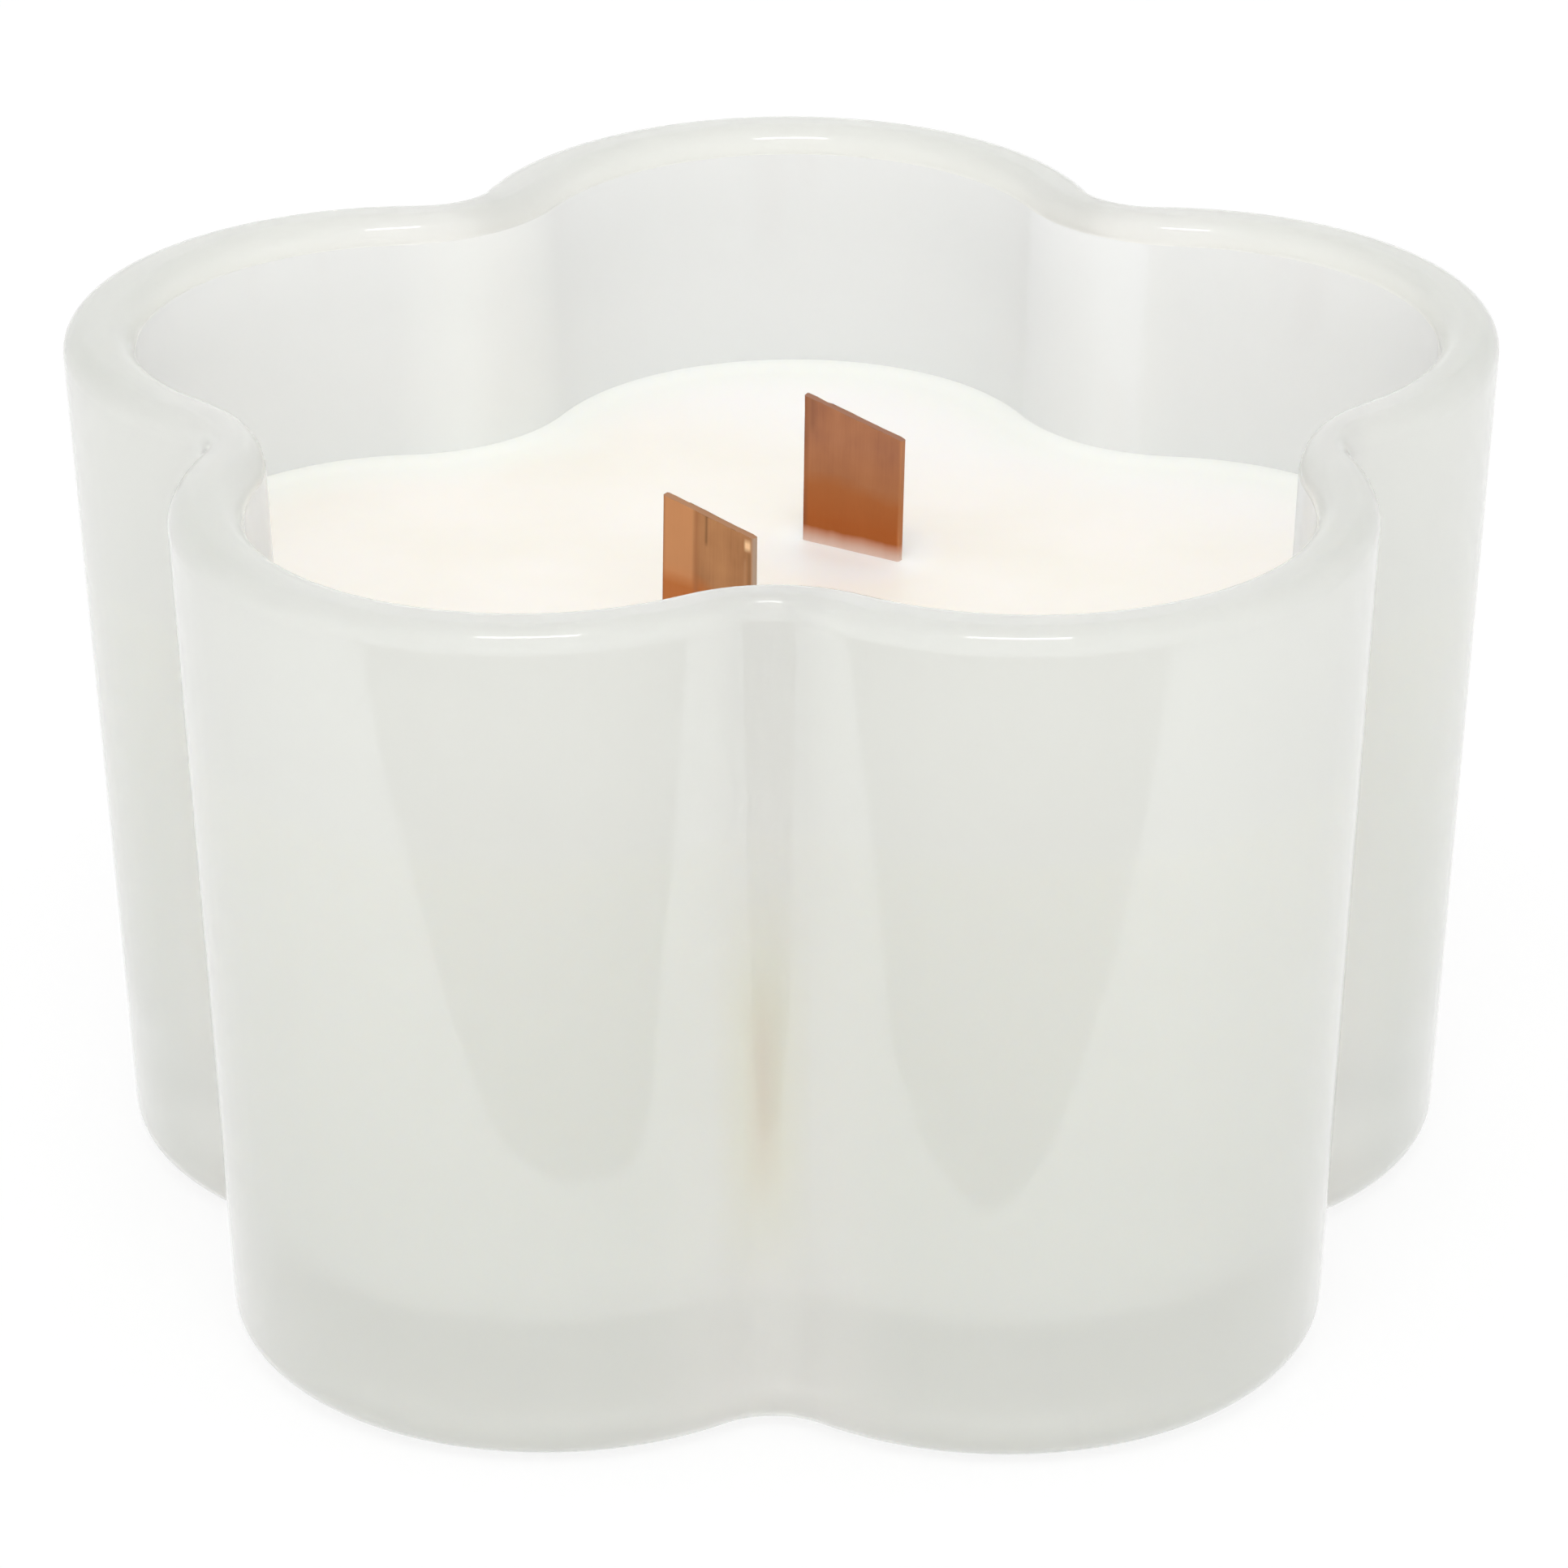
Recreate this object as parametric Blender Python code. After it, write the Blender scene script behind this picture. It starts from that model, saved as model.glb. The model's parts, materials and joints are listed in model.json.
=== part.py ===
"""Five-lobed glass jar candle with two flat wooden wicks, built piece by piece.

Units are metres and +Z is up. The jar stands on the plane z = 0, and the middle of its overall
width and depth lies over the origin. Pieces that touch on the real candle keep GAP between them.
"""
import math

import bmesh
import bpy

# Air between two pieces that touch on the real candle
GAP = 0.0003

# Jar outline at the rim and at the base: round lobes joined by hollow creases
LOBES = 5
FIRST_LOBE_TURN = math.radians(90.0)
RIM_LOBE_CENTRE = 0.0334
RIM_LOBE_RADIUS = 0.0283
RIM_CREASE_RADIUS = 0.0042
BASE_LOBE_CENTRE = 0.0316
BASE_LOBE_RADIUS = 0.0264
BASE_CREASE_RADIUS = 0.0053

# Jar section
JAR_HEIGHT = 0.0745
WALL = 0.0056
FLOOR = 0.0107
RIM_LAND = 0.0012
BASE_CORNER_RADIUS = 0.0034
FLOOR_CORNER_RADIUS = 0.0050
FOOT_WIDTH = 0.0050
PUNT_DEPTH = 0.0016
PUNT_RAMP = 0.0040

# Wax
HEADSPACE = 0.0220
MENISCUS_RISE = 0.0006
MENISCUS_WIDTH = 0.0022
COLLAR_RISE = 0.0009
COLLAR_WIDTH = 0.0016
COLLAR_LIP = 0.0002
COLLAR_ROOT = 0.0010

# Wooden wicks
WICK_WIDTH = 0.0095
WICK_THICKNESS = 0.0008
WICK_SHOW = 0.0123
WICK_SLANT = math.radians(14.0)
WICK_TURN = math.radians(-34.0)
WICK_ROW_TURN = math.radians(61.0)
WICK_ROW_OFFSET = 0.0018

# Stamped steel wick clips
CLIP_DIAMETER = 0.0200
CLIP_SHEET = 0.0004
CLIP_BORDER = 0.0018
CLIP_SPACE = 0.0040
TAB_WIDTH = 0.0070
TAB_LIP_RISE = 0.0012
TAB_LIP_FLARE = 0.0005
TAB_BEND_RADIUS = 0.0003

# Foam stickers under the clips
STICKER_INSET = 0.0005
STICKER_THICKNESS = 0.0010

# Facets
LOBE_STEPS = 20
CREASE_STEPS = 6
EDGE_STEPS = 4
HALF_DISC_STEPS = 20
COLLAR_CORNER_STEPS = 4
BEND_STEPS = 3
SHARP_ANGLE = math.radians(35.0)

# Cutters reach this far past the face that they cut through
CUT_PAST = 0.0010

# Sizes that follow from the ones above
RIM_EDGE_RADIUS = (WALL - RIM_LAND) / 2.0
WAX_LEVEL = JAR_HEIGHT - HEADSPACE
STICKER_DIAMETER = CLIP_DIAMETER - 2.0 * STICKER_INSET
STICKER_BOTTOM = FLOOR + GAP
CLIP_BOTTOM = STICKER_BOTTOM + STICKER_THICKNESS + GAP
CLIP_TOP = CLIP_BOTTOM + CLIP_SHEET
WICK_BOTTOM = CLIP_TOP + GAP
WICK_TOP = WAX_LEVEL + WICK_SHOW
WICK_SPACING = CLIP_DIAMETER + CLIP_SPACE
TAB_INNER = WICK_THICKNESS / 2.0 + GAP
TAB_OUTER = TAB_INNER + CLIP_SHEET
WINDOW_END = math.sqrt((CLIP_DIAMETER / 2.0 - CLIP_BORDER) ** 2 - (TAB_WIDTH / 2.0) ** 2)
TAB_RISE = WINDOW_END - TAB_OUTER - TAB_LIP_RISE
TAB_TOP = CLIP_TOP + TAB_RISE + TAB_LIP_RISE


def clear_scene():
    """Removes whatever the scene holds before the candle is built."""
    for found in list(bpy.data.objects):
        bpy.data.objects.remove(found, do_unlink=True)


def make_material(name, colour, roughness, metallic=0.0, alpha=1.0):
    """Returns a Principled material.

    Args:
        name: the material's name.
        colour: linear red, green and blue.
        roughness: 0 for polished, 1 for chalky.
        metallic: 1 for bare metal.
        alpha: below 1 for a see-through piece.
    """
    material = bpy.data.materials.new(name)
    material.use_nodes = True
    shader = material.node_tree.nodes["Principled BSDF"]
    shader.inputs["Base Color"].default_value = (*colour, 1.0)
    shader.inputs["Roughness"].default_value = roughness
    shader.inputs["Metallic"].default_value = metallic
    shader.inputs["Alpha"].default_value = alpha
    return material


def finish_object(name, bm, material=None, parent=None):
    """Turns a bmesh into a smooth shaded object with true edges kept sharp.

    Args:
        name: the object's name, which is also its node's name.
        bm: the bmesh, which is freed.
        material: the piece's material, or None for a cutter.
        parent: the empty that places the object, or None.
    """
    bmesh.ops.recalc_face_normals(bm, faces=bm.faces)
    mesh = bpy.data.meshes.new(name)
    bm.to_mesh(mesh)
    bm.free()
    if material is not None:
        mesh.materials.append(material)
    piece = bpy.data.objects.new(name, mesh)
    bpy.context.scene.collection.objects.link(piece)
    piece.parent = parent
    mesh.shade_smooth()
    mesh.set_sharp_from_angle(angle=SHARP_ANGLE)
    return piece


def hide_tool(tool):
    """Marks an object as a Boolean tool, which is no piece of the candle."""
    tool.hide_render = True
    tool.display_type = "WIRE"


def combine(piece, tool, operation):
    """Adds an exact Boolean modifier to a piece."""
    modifier = piece.modifiers.new(f"{operation.lower()}_{tool.name}", "BOOLEAN")
    modifier.operation = operation
    modifier.solver = "EXACT"
    modifier.object = tool


def drafted(base_value, rim_value, z):
    """Returns a size that changes evenly from the jar's base to its rim."""
    return base_value + (rim_value - base_value) * z / JAR_HEIGHT


def jar_ring(z, inset):
    """Returns the jar's outline round its own axis, moved inwards by an even distance.

    Each lobe is an arc, and each crease is an arc of the opposite hand that both of its lobes
    run into smoothly. Moving the outline inwards shrinks the lobes and widens the creases, so
    the wall is equally thick all the way round.

    Args:
        z: height over the surface that the jar stands on.
        inset: distance from the outer surface, square to it.
    """
    centre = drafted(BASE_LOBE_CENTRE, RIM_LOBE_CENTRE, z)
    lobe_radius = drafted(BASE_LOBE_RADIUS, RIM_LOBE_RADIUS, z)
    crease_radius = drafted(BASE_CREASE_RADIUS, RIM_CREASE_RADIUS, z)
    half_pitch = math.pi / LOBES
    across = centre * math.sin(half_pitch)
    along = centre * math.cos(half_pitch)
    reach = math.sqrt((lobe_radius + crease_radius) ** 2 - across ** 2)
    crease_centre = along + reach
    crease_half = math.atan2(across, reach)
    lobe_half = crease_half + half_pitch
    ring = []
    for lobe in range(LOBES):
        lobe_turn = FIRST_LOBE_TURN + 2.0 * half_pitch * lobe
        for step in range(LOBE_STEPS + 1):
            turn = lobe_turn + lobe_half * (2.0 * step / LOBE_STEPS - 1.0)
            x = centre * math.cos(lobe_turn) + (lobe_radius - inset) * math.cos(turn)
            y = centre * math.sin(lobe_turn) + (lobe_radius - inset) * math.sin(turn)
            ring.append((x, y, z))
        crease_turn = lobe_turn + half_pitch
        for step in range(1, CREASE_STEPS):
            turn = crease_turn + math.pi + crease_half * (1.0 - 2.0 * step / CREASE_STEPS)
            x = crease_centre * math.cos(crease_turn) + (crease_radius + inset) * math.cos(turn)
            y = crease_centre * math.sin(crease_turn) + (crease_radius + inset) * math.sin(turn)
            ring.append((x, y, z))
    return ring


def build_jar_axis():
    """Places an empty on the jar's axis, so that the jar's overall depth is centred."""
    depths = [y for _, y, _ in jar_ring(JAR_HEIGHT - RIM_EDGE_RADIUS, 0.0)]
    return build_empty("jar_axis", 0.0, -(min(depths) + max(depths)) / 2.0)


def build_empty(name, x, y, turn=0.0, parent=None):
    """Adds an empty that carries other objects, turned about the upright by an angle."""
    empty = bpy.data.objects.new(name, None)
    bpy.context.scene.collection.objects.link(empty)
    empty.location = (x, y, 0.0)
    empty.rotation_euler = (0.0, 0.0, turn)
    empty.parent = parent
    return empty


def skin_rings(bm, rings):
    """Joins closed rings of equal point counts by quads, and caps the first and the last."""
    loops = [[bm.verts.new(point) for point in ring] for ring in rings]
    count = len(loops[0])
    for lower, upper in zip(loops, loops[1:]):
        for index in range(count):
            following = (index + 1) % count
            bm.faces.new((lower[index], lower[following], upper[following], upper[index]))
    bm.faces.new(list(reversed(loops[0])))
    bm.faces.new(loops[-1])


def quarter_arc(centre, radius, start_turn, end_turn):
    """Returns section points (z, inset) along an arc, both ends included.

    Args:
        centre: the arc's centre as (z, inset).
        radius: the arc's radius.
        start_turn: first angle in degrees, 0 towards the inside and 90 upwards.
        end_turn: last angle in degrees.
    """
    points = []
    for step in range(EDGE_STEPS + 1):
        turn = math.radians(start_turn + (end_turn - start_turn) * step / EDGE_STEPS)
        points.append((centre[0] + radius * math.sin(turn), centre[1] + radius * math.cos(turn)))
    return points


def punt_ramp():
    """Returns section points (z, inset) from the punt's ceiling down to the foot ring."""
    foot_inner = BASE_CORNER_RADIUS + FOOT_WIDTH
    points = []
    for step in range(2 * EDGE_STEPS + 1):
        along = step / (2 * EDGE_STEPS)
        z = PUNT_DEPTH * (1.0 + math.cos(math.pi * along)) / 2.0
        points.append((z, foot_inner + PUNT_RAMP * (1.0 - along)))
    return points


def build_jar(material, axis):
    """Builds the glass jar: punt, foot ring, drafted walls, rounded rim and thick floor."""
    section = punt_ramp()
    section += quarter_arc((BASE_CORNER_RADIUS, BASE_CORNER_RADIUS), BASE_CORNER_RADIUS, 270.0, 180.0)
    rim_z = JAR_HEIGHT - RIM_EDGE_RADIUS
    section += quarter_arc((rim_z, RIM_EDGE_RADIUS), RIM_EDGE_RADIUS, 180.0, 90.0)
    section += quarter_arc((rim_z, WALL - RIM_EDGE_RADIUS), RIM_EDGE_RADIUS, 90.0, 0.0)
    floor_corner = (FLOOR + FLOOR_CORNER_RADIUS, WALL + FLOOR_CORNER_RADIUS)
    section += quarter_arc(floor_corner, FLOOR_CORNER_RADIUS, 180.0, 270.0)
    bm = bmesh.new()
    skin_rings(bm, [jar_ring(z, inset) for z, inset in section])
    return finish_object("glass_vessel", bm, material, axis)


def slab_ring(margin, z):
    """Returns a rounded rectangle that keeps one margin round a wick's section."""
    half_x = WICK_WIDTH / 2.0
    half_y = WICK_THICKNESS / 2.0
    ring = []
    for corner, (sign_x, sign_y) in enumerate(((1, 1), (-1, 1), (-1, -1), (1, -1))):
        for step in range(COLLAR_CORNER_STEPS + 1):
            turn = math.radians(90.0 * (corner + step / COLLAR_CORNER_STEPS))
            x = sign_x * half_x + margin * math.cos(turn)
            y = sign_y * half_y + margin * math.sin(turn)
            ring.append((x, y, z))
    return ring


def build_collar(name, seat):
    """Builds the wax that creeps up a wick's foot, as a solid that the wax is joined with."""
    lip = GAP + COLLAR_LIP
    rings = [slab_ring(COLLAR_WIDTH, WAX_LEVEL - COLLAR_ROOT)]
    for step in range(EDGE_STEPS + 1):
        turn = math.radians(90.0 * step / EDGE_STEPS)
        margin = COLLAR_WIDTH - (COLLAR_WIDTH - lip) * math.sin(turn)
        rings.append(slab_ring(margin, WAX_LEVEL + COLLAR_RISE * (1.0 - math.cos(turn))))
    bm = bmesh.new()
    skin_rings(bm, rings)
    collar = finish_object(f"{name}_collar_tool", bm, parent=seat)
    hide_tool(collar)
    return collar


def build_box_tool(name, seat, half_x, half_y, bottom, top):
    """Builds an upright box round a wick's axis as a cutting tool."""
    corners = ((half_x, half_y), (-half_x, half_y), (-half_x, -half_y), (half_x, -half_y))
    bm = bmesh.new()
    skin_rings(bm, [[(x, y, z) for x, y in corners] for z in (bottom, top)])
    tool = finish_object(name, bm, parent=seat)
    hide_tool(tool)
    return tool


def half_circle(diameter, side):
    """Returns plan points on half a circle, from its +X end to its -X end.

    Args:
        diameter: the circle's diameter.
        side: 1 for the half at +Y and -1 for the half at -Y.
    """
    turns = [math.pi * step / HALF_DISC_STEPS for step in range(HALF_DISC_STEPS + 1)]
    radius = diameter / 2.0
    return [(radius * math.cos(turn), side * radius * math.sin(turn)) for turn in turns]


def disc_ring(diameter, z):
    """Returns the points of a level circle round a wick's axis."""
    plan = half_circle(diameter, 1.0)[:-1]
    plan += [(-x, -y) for x, y in plan]
    return [(x, y, z) for x, y in plan]


def build_disc_tool(name, seat, diameter, bottom, top):
    """Builds an upright cylinder round a wick's axis as a cutting tool."""
    bm = bmesh.new()
    skin_rings(bm, [disc_ring(diameter, z) for z in (bottom, top)])
    tool = finish_object(name, bm, parent=seat)
    hide_tool(tool)
    return tool


def build_wax(material, axis, seats):
    """Builds the poured wax, with its edge creeping up the glass and round each wick.

    Args:
        material: the wax.
        axis: the empty on the jar's axis.
        seats: wick names and the empties that their assemblies stand on.
    """
    side = WALL + GAP
    corner_radius = FLOOR_CORNER_RADIUS - GAP
    corner = (FLOOR + FLOOR_CORNER_RADIUS, WALL + FLOOR_CORNER_RADIUS)
    section = list(reversed(quarter_arc(corner, corner_radius, 180.0, 270.0)))
    for step in range(EDGE_STEPS + 1):
        turn = math.radians(90.0 * step / EDGE_STEPS)
        z = WAX_LEVEL + MENISCUS_RISE * (1.0 - math.sin(turn))
        section.append((z, side + MENISCUS_WIDTH * (1.0 - math.cos(turn))))
    bm = bmesh.new()
    skin_rings(bm, [jar_ring(z, inset) for z, inset in section])
    wax = finish_object("wax_fill", bm, material, axis)
    for name, seat in seats.items():
        combine(wax, build_collar(name, seat), "UNION")
        disc = build_disc_tool(f"{name}_disc_cutter", seat, CLIP_DIAMETER + 2.0 * GAP,
                               FLOOR - CUT_PAST, CLIP_TOP + GAP)
        combine(wax, disc, "DIFFERENCE")
        tabs = build_box_tool(f"{name}_tab_cutter", seat, TAB_WIDTH / 2.0 + GAP,
                              TAB_OUTER + TAB_LIP_FLARE + GAP, CLIP_BOTTOM, TAB_TOP + GAP)
        combine(wax, tabs, "DIFFERENCE")
        slot = build_box_tool(f"{name}_slot_cutter", seat, WICK_WIDTH / 2.0 + GAP,
                              WICK_THICKNESS / 2.0 + GAP, CLIP_BOTTOM,
                              WAX_LEVEL + COLLAR_RISE + CUT_PAST)
        combine(wax, slot, "DIFFERENCE")
    return wax


def build_seats(axis):
    """Places an empty for each wick, turned as the wick is turned, and returns them by name."""
    seats = {}
    for name, side in (("rear_wick", 1.0), ("front_wick", -1.0)):
        out = side * WICK_SPACING / 2.0
        x = out * math.cos(WICK_ROW_TURN)
        y = out * math.sin(WICK_ROW_TURN) + WICK_ROW_OFFSET
        seats[name] = build_empty(f"{name}_seat", x, y, WICK_TURN, axis)
    return seats


def build_wick(name, material, seat):
    """Builds a flat wooden wick with a slanted top, standing in its clip."""
    half_x = WICK_WIDTH / 2.0
    half_y = WICK_THICKNESS / 2.0
    fall = half_x * math.tan(WICK_SLANT)
    outline = ((-half_x, WICK_BOTTOM), (half_x, WICK_BOTTOM),
               (half_x, WICK_TOP - fall), (-half_x, WICK_TOP + fall))
    bm = bmesh.new()
    skin_rings(bm, [[(x, y, z) for x, z in outline] for y in (half_y, -half_y)])
    return finish_object(name, bm, material, seat)


def lay_out_sheet(bm):
    """Lays out a clip's flat sheet as faces, with an empty window where each tab came from."""
    half_x = TAB_WIDTH / 2.0
    verts = {}

    def corner(x, y):
        """Returns the one vertex at a plan point."""
        key = (round(x, 7), round(y, 7))
        if key not in verts:
            verts[key] = bm.verts.new((x, y, CLIP_BOTTOM))
        return verts[key]

    strip = ((-half_x, -TAB_INNER), (half_x, -TAB_INNER), (half_x, 0.0),
             (half_x, TAB_INNER), (-half_x, TAB_INNER), (-half_x, 0.0))
    bm.faces.new([corner(x, y) for x, y in strip])
    for side in (-1.0, 1.0):
        foot = ((-half_x, TAB_INNER), (half_x, TAB_INNER),
                (half_x, TAB_OUTER), (-half_x, TAB_OUTER))
        bm.faces.new([corner(x, side * y) for x, y in foot])
        window = ((-half_x, 0.0), (-half_x, TAB_INNER), (-half_x, TAB_OUTER),
                  (-half_x, WINDOW_END), (half_x, WINDOW_END),
                  (half_x, TAB_OUTER), (half_x, TAB_INNER), (half_x, 0.0))
        edge = [corner(x, y) for x, y in half_circle(CLIP_DIAMETER, side)]
        bm.faces.new(edge + [corner(x, side * y) for x, y in window])
    bmesh.ops.recalc_face_normals(bm, faces=bm.faces)


def raise_faces(bm, faces, shift_y, rise):
    """Copies faces upwards, with a sideways shift, and walls in the way between.

    Returns:
        The faces at the new top. The first faces stay where they were.
    """
    made = bmesh.ops.extrude_face_region(bm, geom=faces)["geom"]
    moved = [item for item in made if isinstance(item, bmesh.types.BMVert)]
    bmesh.ops.translate(bm, verts=moved, vec=(0.0, shift_y, rise))
    return [item for item in made if isinstance(item, bmesh.types.BMFace)]


def draw_out(bm, faces, shift_y, rise):
    """Lengthens a solid by moving some of its faces upwards, and returns those faces."""
    top = raise_faces(bm, faces, shift_y, rise)
    bmesh.ops.delete(bm, geom=faces, context="FACES_ONLY")
    return top


def tab_foot_top(bm, side):
    """Returns the one top face of a tab's foot."""
    tops = []
    for face in bm.faces:
        middle = face.calc_center_median()
        on_top = math.isclose(middle.z, CLIP_TOP, abs_tol=GAP / 100.0)
        if on_top and abs(middle.x) < GAP and TAB_INNER < side * middle.y < TAB_OUTER:
            tops.append(face)
    return tops


def bend_edges(bm):
    """Returns the lower outer edge of each tab's foot, which is the outside of its bend."""
    edges = []
    for edge in bm.edges:
        low = all(math.isclose(vert.co.z, CLIP_BOTTOM, abs_tol=GAP / 100.0) for vert in edge.verts)
        outside = all(math.isclose(abs(vert.co.y), TAB_OUTER, abs_tol=GAP / 100.0)
                      for vert in edge.verts)
        if low and outside:
            edges.append(edge)
    return edges


def build_clip(name, material, seat):
    """Builds a wick clip from one sheet: a disc with two tabs cut out of it and bent up."""
    bm = bmesh.new()
    lay_out_sheet(bm)
    raise_faces(bm, list(bm.faces), 0.0, CLIP_SHEET)
    for side in (-1.0, 1.0):
        top = draw_out(bm, tab_foot_top(bm, side), 0.0, TAB_RISE)
        draw_out(bm, top, side * TAB_LIP_FLARE, TAB_LIP_RISE)
    bmesh.ops.recalc_face_normals(bm, faces=bm.faces)
    bmesh.ops.bevel(bm, geom=bend_edges(bm), offset=TAB_BEND_RADIUS, segments=BEND_STEPS,
                    profile=0.5, affect="EDGES")
    return finish_object(name, bm, material, seat)


def build_sticker(name, material, seat):
    """Builds the round foam sticker between a clip and the jar's floor."""
    bm = bmesh.new()
    heights = (STICKER_BOTTOM, STICKER_BOTTOM + STICKER_THICKNESS)
    skin_rings(bm, [disc_ring(STICKER_DIAMETER, z) for z in heights])
    return finish_object(name, bm, material, seat)


def main():
    """Builds the whole candle."""
    clear_scene()
    satin_glass = make_material("satin_glass", (0.76, 0.79, 0.76), 0.35, alpha=0.55)
    cream_wax = make_material("cream_wax", (0.93, 0.89, 0.80), 0.45)
    cherry_wood = make_material("cherry_wood", (0.36, 0.12, 0.035), 0.65)
    tinned_steel = make_material("tinned_steel", (0.62, 0.62, 0.60), 0.30, metallic=1.0)
    white_foam = make_material("white_foam", (0.85, 0.85, 0.84), 0.85)
    axis = build_jar_axis()
    seats = build_seats(axis)
    build_jar(satin_glass, axis)
    build_wax(cream_wax, axis, seats)
    for name, seat in seats.items():
        build_wick(name, cherry_wood, seat)
        build_clip(f"{name}_clip", tinned_steel, seat)
        build_sticker(f"{name.replace('wick', 'clip')}_sticker", white_foam, seat)


main()
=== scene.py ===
"""Looks of the five-lobed jar candle with two wooden wicks.

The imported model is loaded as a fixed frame. Finer pieces are built in the places of its nodes and
dressed in their real finishes, and a plain studio with the photograph's camera goes round them.
Lengths are in metres unless a name says mm, and +Z is up.
"""
import json
import logging
import math
from dataclasses import dataclass, field
from enum import Enum
from typing import Any, Iterable, Sequence

import bmesh
import bpy
from mathutils import Matrix, Vector, noise

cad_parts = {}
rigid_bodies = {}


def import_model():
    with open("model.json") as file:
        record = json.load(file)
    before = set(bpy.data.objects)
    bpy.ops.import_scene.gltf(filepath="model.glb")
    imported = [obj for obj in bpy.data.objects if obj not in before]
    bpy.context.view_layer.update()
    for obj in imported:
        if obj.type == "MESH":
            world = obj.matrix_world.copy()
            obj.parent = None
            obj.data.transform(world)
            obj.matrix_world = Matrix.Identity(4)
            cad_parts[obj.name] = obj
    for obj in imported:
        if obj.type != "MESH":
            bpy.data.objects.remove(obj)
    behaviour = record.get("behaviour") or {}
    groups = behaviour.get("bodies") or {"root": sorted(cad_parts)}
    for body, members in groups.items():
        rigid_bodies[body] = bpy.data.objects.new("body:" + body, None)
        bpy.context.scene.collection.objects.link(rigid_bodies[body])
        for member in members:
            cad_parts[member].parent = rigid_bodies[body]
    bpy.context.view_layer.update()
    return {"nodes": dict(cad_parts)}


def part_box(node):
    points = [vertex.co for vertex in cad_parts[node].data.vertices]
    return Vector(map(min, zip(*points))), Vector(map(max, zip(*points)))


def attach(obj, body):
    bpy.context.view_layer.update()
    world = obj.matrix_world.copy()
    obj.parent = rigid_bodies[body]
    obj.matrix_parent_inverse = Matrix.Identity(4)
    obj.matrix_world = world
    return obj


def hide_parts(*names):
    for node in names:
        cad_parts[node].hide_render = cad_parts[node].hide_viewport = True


LOG = logging.getLogger("candle")
BODY = "root"
MM = 0.001
PHOTO_SIDE_PX = 1932
RIM_ROLL = 0.0022
WAX_BELOW_RIM = 0.0220
WICK_TURN = math.radians(-34.0)
CLIP_EDGE = 0.06 * MM
STICKER_EDGE = 0.1 * MM

Ring = list[Vector]
Tree = bpy.types.NodeTree
Node = bpy.types.Node
Socket = bpy.types.NodeSocket
Material = bpy.types.Material
Object = bpy.types.Object
Mesh = bmesh.types.BMesh
BMFace = bmesh.types.BMFace


def hex_colour(code: str) -> tuple[float, float, float, float]:
    """Turns an sRGB hex colour into the linear colour that a shader reads.

    Args:
        code: six hex digits, such as "FBF7EC".

    Returns:
        Linear red, green, blue and an alpha of 1.
    """
    channels = []
    for start in (0, 2, 4):
        value = int(code[start:start + 2], 16) / 255.0
        linear = value / 12.92 if value <= 0.04045 else ((value + 0.055) / 1.055) ** 2.4
        channels.append(linear)
    return (channels[0], channels[1], channels[2], 1.0)


def add_node(
    tree: Tree,
    kind: str,
    settings: dict[str, Any] | None = None,
    inputs: dict[str | int, Any] | None = None,
    stops: Sequence[tuple[float, str]] = (),
) -> Node:
    """Adds a shader node, sets its settings, and fills or links its inputs.

    Args:
        tree: the node tree.
        kind: the node's type name, without its first part "ShaderNode".
        settings: the node's own properties.
        inputs: input values, or output sockets to link from.
        stops: for a colour ramp, rising positions from 0 to 1 with their sRGB hex colours.

    Returns:
        The new node.
    """
    node = tree.nodes.new(f"ShaderNode{kind}")
    for name, value in (settings or {}).items():
        setattr(node, name, value)
    for key, value in (inputs or {}).items():
        if isinstance(value, Socket):
            tree.links.new(value, node.inputs[key])
        else:
            node.inputs[key].default_value = value
    for place, (position, code) in enumerate(stops):
        elements = node.color_ramp.elements
        stop = elements[place] if place < len(elements) else elements.new(position)
        stop.position = position
        stop.color = hex_colour(code)
    return node


def scale_of(size_mm: float) -> float:
    """Returns a texture's scale from the size of its features in millimetres."""
    return 1.0 / (size_mm * MM)


def new_material(name: str, values: dict[str, Any]) -> tuple[Material, Tree, Node]:
    """Makes a material, and returns it with its node tree and its Principled shader.

    Args:
        name: the material's name.
        values: the values of the shader's own inputs.
    """
    material = bpy.data.materials.new(name)
    material.use_nodes = True
    shader = material.node_tree.nodes["Principled BSDF"]
    for key, value in values.items():
        shader.inputs[key].default_value = value
    return material, material.node_tree, shader


def band_between(
    tree: Tree,
    value: Socket,
    low: float,
    high: float,
    blur: float,
    within: Socket | float = 1.0,
) -> Socket:
    """Returns a share that is full where a value lies between two limits, with soft edges.

    Args:
        tree: the node tree.
        value: the value, in metres.
        low: the lower limit, in metres.
        high: the upper limit, in metres.
        blur: half the width of each soft edge, in metres.
        within: the full share, such as that of another band which this one crosses.
    """
    rise = add_node(tree, "MapRange", inputs={
        "Value": value, "From Min": low - blur, "From Max": low + blur, "To Max": within})
    fall = add_node(tree, "MapRange", inputs={
        "Value": value, "From Min": high - blur, "From Max": high + blur,
        "To Min": 1.0, "To Max": 0.0})
    both = add_node(tree, "Math", {"operation": "MULTIPLY"}, {
        0: rise.outputs["Result"], 1: fall.outputs["Result"]})
    return both.outputs[0]


def lay_over(tree: Tree, share: Socket, strength: float, under: Socket, over: str) -> Socket:
    """Lays a colour over another by a share times a strength, and returns the result."""
    amount = add_node(tree, "Math", {"operation": "MULTIPLY"}, {
        0: share, 1: strength})
    mix = add_node(tree, "Mix", {"data_type": "RGBA"}, {
        "Factor": amount.outputs[0], 6: under, 7: hex_colour(over)})
    return mix.outputs[2]


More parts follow.
